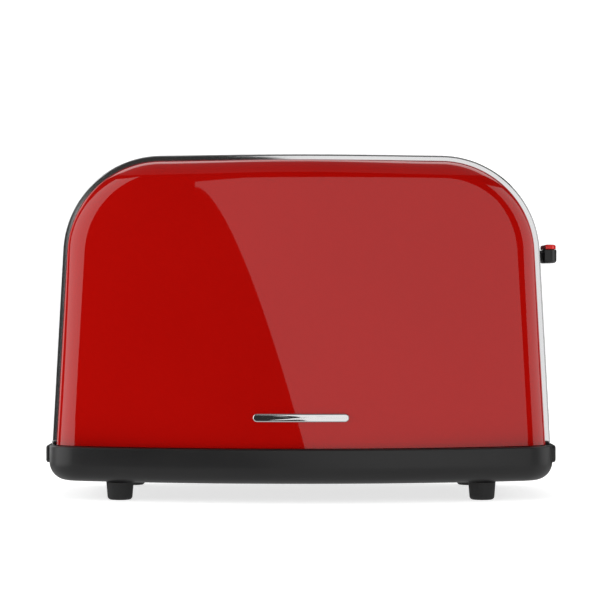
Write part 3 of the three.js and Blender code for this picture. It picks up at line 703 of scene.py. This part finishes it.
# One socket of a node tree, so that shader maths reads as a formula.
class Signal:
    def __init__(self, tree, socket):
        self.tree = tree
        self.socket = socket

    # Any node: settings first, then a value or a link for each named or numbered input.
    def node(self, kind, settings, inputs, output=0):
        made = self.tree.nodes.new(kind)
        for key, value in settings.items():
            setattr(made, key, value)
        for key, value in inputs.items():
            if isinstance(value, Signal):
                self.tree.links.new(value.socket, made.inputs[key])
            else:
                made.inputs[key].default_value = value
        return Signal(self.tree, made.outputs[output])

    # A Math node on first and second, held between 0 and 1 if clamp is set.
    def maths(self, operation, first, second=0.0, clamp=False):
        settings = {"operation": operation, "use_clamp": clamp}
        return self.node("ShaderNodeMath", settings, {0: first, 1: second})

    # The operators: each adds the Math node that it reads as, either way round.
    def __add__(self, other):
        return self.maths("ADD", self, other)

    def __radd__(self, other):
        return self.maths("ADD", other, self)

    def __sub__(self, other):
        return self.maths("SUBTRACT", self, other)

    def __rsub__(self, other):
        return self.maths("SUBTRACT", other, self)

    def __mul__(self, other):
        return self.maths("MULTIPLY", self, other)

    def __rmul__(self, other):
        return self.maths("MULTIPLY", other, self)

    def __truediv__(self, other):
        return self.maths("DIVIDE", self, other)

    def __rtruediv__(self, other):
        return self.maths("DIVIDE", other, self)

    # This without its sign.
    def absolute(self):
        return self.maths("ABSOLUTE", self)

    # The greater of this and other.
    def most(self, other):
        return self.maths("MAXIMUM", self, other)

    # 1 where this is below limit and 0 above it, softened over a short run.
    def below(self, limit, soft):
        return self.maths("MULTIPLY", limit - self + soft, 0.5 / soft, clamp=True)

    # Moves from low to high as this goes from 0 to 1.
    def between(self, low, high):
        return low + self * (high - low)

    # Colour mixed from first to second as this goes from 0 to 1.
    def mix(self, first, second):
        factorInput, firstInput, secondInput, colourOutput = 0, 6, 7, 2
        inputs = {factorInput: self, firstInput: first, secondInput: second}
        return self.node("ShaderNodeMix", {"data_type": "RGBA"}, inputs, colourOutput)

    # Noise over this position, stretched by scale (x, y, z), pushed towards 0 and 1 by contrast.
    def noise(self, scale, detail=2.0, contrast=1.0):
        moved = self.node("ShaderNodeMapping", {}, {"Vector": self, "Scale": scale})
        value = self.node("ShaderNodeTexNoise", {}, {"Vector": moved, "Scale": 1.0, "Detail": detail})
        return self.maths("ADD", (value - 0.5) * contrast, 0.5, clamp=True)

    # The x, y and z of this vector.
    def parts(self):
        split = self.node("ShaderNodeSeparateXYZ", {}, {0: self}).socket.node
        return [Signal(self.tree, output) for output in split.outputs]


# A material from a dictionary: "colour" and "second" mixed by a broad noise, "rough" from low to high by the
# same noise, "grain" the scale of a fine bump and "bump" its height; the rest are the shader's own values.
# Extra is a function of (position, colour) that returns the colour with marks on it.
def makeLook(name, look, extra=None):
    material = bpy.data.materials.new(name)
    material.use_nodes = True
    tree = material.node_tree
    shader = tree.nodes["Principled BSDF"]
    place = Signal(tree, None).node("ShaderNodeTexCoord", {}, {}, "Object")
    broad = place.noise(look["broad"], 3.0, 1.6)
    colour = broad.mix((*look["colour"], 1), (*look["second"], 1))
    if extra:
        colour = extra(place, colour)
    tree.links.new(colour.socket, shader.inputs["Base Color"])
    tree.links.new(broad.between(*look["rough"]).socket, shader.inputs["Roughness"])
    grain = place.noise(look["grain"], 4.0)
    settings = {"Strength": 1.0, "Distance": look["bump"], "Height": grain}
    bump = grain.node("ShaderNodeBump", {}, settings)
    tree.links.new(bump.socket, shader.inputs["Normal"])
    for key, value in look.get("shader", {}).items():
        shader.inputs[key].default_value = value
    return material


even = lambda scale: (scale, scale, scale)
looks = {
    "red_paint": {
        "colour": (0.35, 0.0015, 0.0004), "second": (0.37, 0.0019, 0.0006),
        "broad": even(14), "rough": (0.30, 0.38),
        "grain": even(900), "bump": 0.002 * mm,
        "shader": {"Coat Weight": 1.0, "Coat Roughness": 0.02, "Coat IOR": 1.5, "Specular IOR Level": 0.0},
    },
    "steel": {
        "colour": (0.78, 0.78, 0.79), "second": (0.83, 0.83, 0.83),
        "broad": even(20), "rough": (0.13, 0.18),
        "grain": (30, 1500, 30), "bump": 0.0004 * mm, "shader": {"Metallic": 1.0},
    },
    "chrome": {
        "colour": (0.80, 0.80, 0.81), "second": (0.86, 0.86, 0.86),
        "broad": even(60), "rough": (0.05, 0.09),
        "grain": even(500), "bump": 0.001 * mm, "shader": {"Metallic": 1.0},
    },
    "black_plastic": {
        "colour": (0.008, 0.008, 0.0085), "second": (0.012, 0.012, 0.012),
        "broad": even(25), "rough": (0.34, 0.44),
        "grain": even(2600), "bump": 0.02 * mm, "shader": {"IOR": 1.48},
    },
    "red_plastic": {
        "colour": (0.62, 0.003, 0.001), "second": (0.68, 0.004, 0.001),
        "broad": even(60), "rough": (0.16, 0.22),
        "grain": even(1800), "bump": 0.004 * mm, "shader": {"IOR": 1.5},
    },
    "rubber": {
        "colour": (0.011, 0.011, 0.011), "second": (0.017, 0.017, 0.017),
        "broad": even(90), "rough": (0.6, 0.75),
        "grain": even(2200), "bump": 0.03 * mm, "shader": {"IOR": 1.45},
    },
    "zinc_steel": {
        "colour": (0.42, 0.43, 0.45), "second": (0.55, 0.55, 0.56),
        "broad": even(120), "rough": (0.30, 0.46),
        "grain": even(1500), "bump": 0.006 * mm, "shader": {"Metallic": 0.7},
    },
    "mica": {
        "colour": (0.48, 0.42, 0.30), "second": (0.62, 0.57, 0.45),
        "broad": even(220), "rough": (0.42, 0.62),
        "grain": even(900), "bump": 0.05 * mm, "shader": {"IOR": 1.58},
    },
    "heat_wire": {
        "colour": (0.16, 0.13, 0.12), "second": (0.28, 0.24, 0.21),
        "broad": even(80), "rough": (0.45, 0.6),
        "grain": even(1500), "bump": 0.01 * mm, "shader": {"Metallic": 1.0},
    },
    "circuit_board": {
        "colour": (0.015, 0.075, 0.028), "second": (0.022, 0.10, 0.038),
        "broad": even(150), "rough": (0.3, 0.42),
        "grain": even(900), "bump": 0.02 * mm, "shader": {"IOR": 1.5},
    },
    "copper": {
        "colour": (0.42, 0.15, 0.06), "second": (0.55, 0.22, 0.09),
        "broad": (40, 40, 1200), "rough": (0.3, 0.4),
        "grain": (60, 60, 2000), "bump": 0.05 * mm, "shader": {"Metallic": 1.0, "Coat Weight": 0.6},
    },
}


prints = {
    "knobDots": 7,
    "knobRadius": 16.4 * mm,
    "firstTurn": -135,
    "turnStep": 45,
    "dotSize": 0.35,
    "dotGrowth": 0.09,
    "across": 14.5 * mm,
    "strokeTurns": ((0, 60, 120), (), (45,)),
    "strokeHalf": 2.2 * mm,
    "ringRadius": 2.6 * mm,
    "innerRadius": 1.3 * mm,
    "line": 0.28 * mm,
    "innerLine": 0.25 * mm,
    "soft": 0.06 * mm,
    "behind": 1 * mm,
    "edge": 0.1 * mm,
    "ink": (0.62, 0.62, 0.60, 1),
}


# White print on the control panel: a row of dots round the knob, one for each setting, and a mark by each
# button. A dot is the distance to its middle, a stroke is the greater of two distances across and along it.
def printedMarks(place, colour):
    x, y, z = place.parts()
    x = x - shellMiddle.x
    lean = shell["splay"]
    up = (z - control["middle"]) / math.cos(lean)
    faceX = sideX(control["middle"], 0) - (z - control["middle"]) * math.tan(lean)
    outside = (faceX - prints["behind"] - x).below(0, prints["edge"])
    marks = []
    for step in range(prints["knobDots"]):
        turn = math.radians(prints["firstTurn"] + prints["turnStep"] * step)
        middle = (-prints["knobRadius"] * math.sin(turn), knob["up"] + prints["knobRadius"] * math.cos(turn))
        size = (prints["dotSize"] + prints["dotGrowth"] * step) * mm
        marks.append((dotDistance(y, up, middle), size))
    for count, turns in enumerate(prints["strokeTurns"]):
        middle = (prints["across"], buttons["middle"] + (count - 1) * buttons["pitch"])
        for turn in turns:
            stroke = strokeDistance(y, up, middle, math.radians(turn), prints["strokeHalf"])
            marks.append((stroke, prints["line"]))
        if count > 0:
            ring = (dotDistance(y, up, middle) - prints["ringRadius"]).absolute()
            marks.append((ring, prints["line"]))
        if count == 1:
            ring = (dotDistance(y, up, middle) - prints["innerRadius"]).absolute()
            marks.append((ring, prints["innerLine"]))
    white = marks[0][0].below(marks[0][1], prints["soft"])
    for distance, reach in marks[1:]:
        white = white.most(distance.below(reach, prints["soft"]))
    return (white * outside).mix(colour, prints["ink"])


# Distance from a middle: the root of the sum of squares.
def dotDistance(y, up, middle):
    a, b = y - middle[0], up - middle[1]
    return a.maths("SQRT", a * a + b * b)


# Distance from a straight stroke of half length half, turned about its middle: the greater of the distance
# across it and the distance past its end.
def strokeDistance(y, up, middle, turn, half):
    a, b = y - middle[0], up - middle[1]
    along = a * math.cos(turn) + b * math.sin(turn)
    across = b * math.cos(turn) - a * math.sin(turn)
    return across.absolute().most(along.absolute() - half)


pointer = {
    "half": 0.55 * mm,
    "middle": 8 * mm,
    "reach": 3.2 * mm,
    "proud": 2.4 * mm,
    "soft": 0.05 * mm,
    "edge": 0.1 * mm,
    "ink": (0.7, 0.7, 0.68, 1),
}


# White line on the knob's ridge, on its upper half.
def knobPointer(place, colour):
    x, y, z = place.parts()
    x = x - shellMiddle.x
    foot = control["middle"] + knob["up"] * math.cos(shell["splay"])
    line = y.absolute().below(pointer["half"], pointer["soft"])
    length = (z - (foot + pointer["middle"])).absolute().below(pointer["reach"], pointer["soft"])
    faceX = sideX(foot, 0) + pointer["proud"]
    return (line * length * (faceX - x).below(0, pointer["edge"])).mix(colour, pointer["ink"])


materials = {slotName: makeLook(slotName, look) for slotName, look in looks.items()}
panelMaterial = makeLook("printed_panel", looks["black_plastic"], printedMarks)
knobMaterial = makeLook("pointed_knob", looks["black_plastic"], knobPointer)


# Every CAD node takes the look of its slot in the record, and every new piece that of its own slot.
for part in frame["record"]["subparts"]:
    nodeMaterials = nodes[part["node"]].data.materials
    nodeMaterials.clear()
    nodeMaterials.append(materials[part["material_slot"]])
ownLooks = {"controlPanel": panelMaterial, "browningKnob": knobMaterial}
for piece in bpy.context.scene.objects:
    if piece.type == "MESH" and "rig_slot" in piece and piece.name not in nodes:
        piece.data.materials.append(ownLooks.get(piece.name, materials[piece["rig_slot"]]))
print("looks given")

# Camera, floor and lights

view = {"distance": 1370 * mm, "lens": 152.1, "height": 103.6 * mm, "aside": -0.5 * mm}
camera = bpy.data.objects.new("camera", bpy.data.cameras.new("camera"))
bpy.context.scene.collection.objects.link(camera)
camera.location = (shellMiddle.x + view["aside"], -view["distance"], view["height"])
camera.rotation_euler = (math.pi / 2, 0, 0)
camera.data.lens = view["lens"]
camera.data.sensor_width = 36
camera.data.clip_end = 50
bpy.context.scene.camera = camera


# Floor: a disc that curves up into a wall all round, seen and lit but left out of mirror reflections.
def makeFloor():
    flat, curve, high = 3.2, 1.2, 3.0
    profile = [(0, 0), (0.5, 0), (1.5, 0)] + fillet(flat, curve, curve, -90, 0, 24) + [(flat + curve, high)]
    points, quads = turned(profile, (0, 0), 96)
    mesh = bpy.data.meshes.new("floor")
    mesh.from_pydata(points.reshape(-1, 3).tolist(), [], quads[:, ::-1].tolist())
    mesh.validate()
    mesh.shade_smooth()
    floor = bpy.data.objects.new("floor", mesh)
    bpy.context.scene.collection.objects.link(floor)
    look = {
        "colour": (0.60, 0.60, 0.60), "second": (0.64, 0.64, 0.64),
        "broad": even(1.5), "rough": (0.85, 0.95),
        "grain": even(40), "bump": 0.1 * mm,
        "shader": {"Emission Color": (1, 1, 1, 1), "Emission Strength": 0.72},
    }
    floor.data.materials.append(makeLook("floor", look))
    floor.visible_glossy = False


makeFloor()


softbox = {
    "y": -2.0,
    "right": 2.9,
    "foot": -0.5,
    "top": 0.78,
    "footLeft": 0.034,
    "topLeft": -0.97,
    "curve": 1.6,
    "drop": 0.086,
    "rightRise": 0.45,
    "bright": 0.92,
}


# The big front softbox: rows from its left edge to its right edge, in a plane in front of the object. The
# left edge rises by a power of the way across, and the right edge is higher by a share of the height.
def makeSoftbox():
    share = np.linspace(0, 1, 24)
    left = np.concatenate([[softbox["footLeft"]], softbox["footLeft"] - share, [softbox["topLeft"]]])
    curve = softbox["top"] * (1 - (1 - share) ** softbox["curve"]) - softbox["drop"]
    high = np.concatenate([[softbox["foot"]], curve, [softbox["top"]]])
    y = np.full_like(high, softbox["y"])
    risen = (high - high[0]) / (softbox["top"] - softbox["foot"])
    right = np.stack([np.full_like(high, softbox["right"]), y, high + softbox["rightRise"] * risen], axis=-1)
    points = np.stack([np.stack([left, y, high], axis=-1), right], axis=1)
    mesh = bpy.data.meshes.new("softbox")
    vertices, quads = gridOf(points)
    mesh.from_pydata(vertices.reshape(-1, 3).tolist(), [], quads.tolist())
    panel = bpy.data.objects.new("softbox", mesh)
    bpy.context.scene.collection.objects.link(panel)
    material = bpy.data.materials.new("softbox")
    material.use_nodes = True
    shader = material.node_tree.nodes["Principled BSDF"]
    shader.inputs["Base Color"].default_value = (0, 0, 0, 1)
    shader.inputs["Emission Color"].default_value = (1, 1, 1, 1)
    shader.inputs["Emission Strength"].default_value = softbox["bright"]
    mesh.materials.append(material)
    panel.visible_camera = False


makeSoftbox()

# Area lights: place, the point each one faces, size across and up, brightness.
lights = {
    "leftWall": {"place": (-1.6, -0.25, 0.75), "aim": (0, -0.25, 0.75), "size": (1.7, 2.1), "bright": 1.5},
    "rightWall": {"place": (1.8, 0.45, 0.65), "aim": (0, 0.45, 0.65), "size": (1.5, 1.9), "bright": 1.0},
    "backTop": {"place": (0.1, 1.5, 1.6), "aim": (0, 0, 0.1), "size": (2.6, 0.7), "bright": 1.5},
    "canopy": {"place": (0, 0, 2.4), "aim": (0, 0, 0), "size": (3.6, 3.6), "bright": 0.2},
    "fill": {"place": (0, -0.4, 2.3), "aim": (0, 0, 0), "size": (3.0, 3.0), "bright": 0.5},
    "underGlow": {"place": (0, 0, -0.6), "aim": (0, 0, 0), "size": (6, 6), "bright": 0.5},
    "rearWall": {"place": (-1.3, 2.0, 0.5), "aim": (0, 0, 0.1), "size": (1.8, 1.4), "bright": 1.0},
}
for name, light in lights.items():
    data = bpy.data.lights.new(name, "AREA")
    data.shape = "RECTANGLE"
    data.size, data.size_y = light["size"]
    data.energy = light["bright"] * math.pi * data.size * data.size_y
    lamp = bpy.data.objects.new(name, data)
    bpy.context.scene.collection.objects.link(lamp)
    lamp.location = light["place"]
    lamp.rotation_euler = (Vector(light["aim"]) - lamp.location).to_track_quat("-Z", "Y").to_euler()
    lamp.visible_camera = False
    lamp.visible_glossy = name != "fill"  # the fill is left out of mirror reflections

world = bpy.data.worlds.new("world")
world.use_nodes = True
world.node_tree.nodes["Background"].inputs["Color"].default_value = (0.03, 0.03, 0.03, 1)
bpy.context.scene.world = world
bpy.context.scene.view_settings.view_transform = "Standard"
print("floor and lights set")
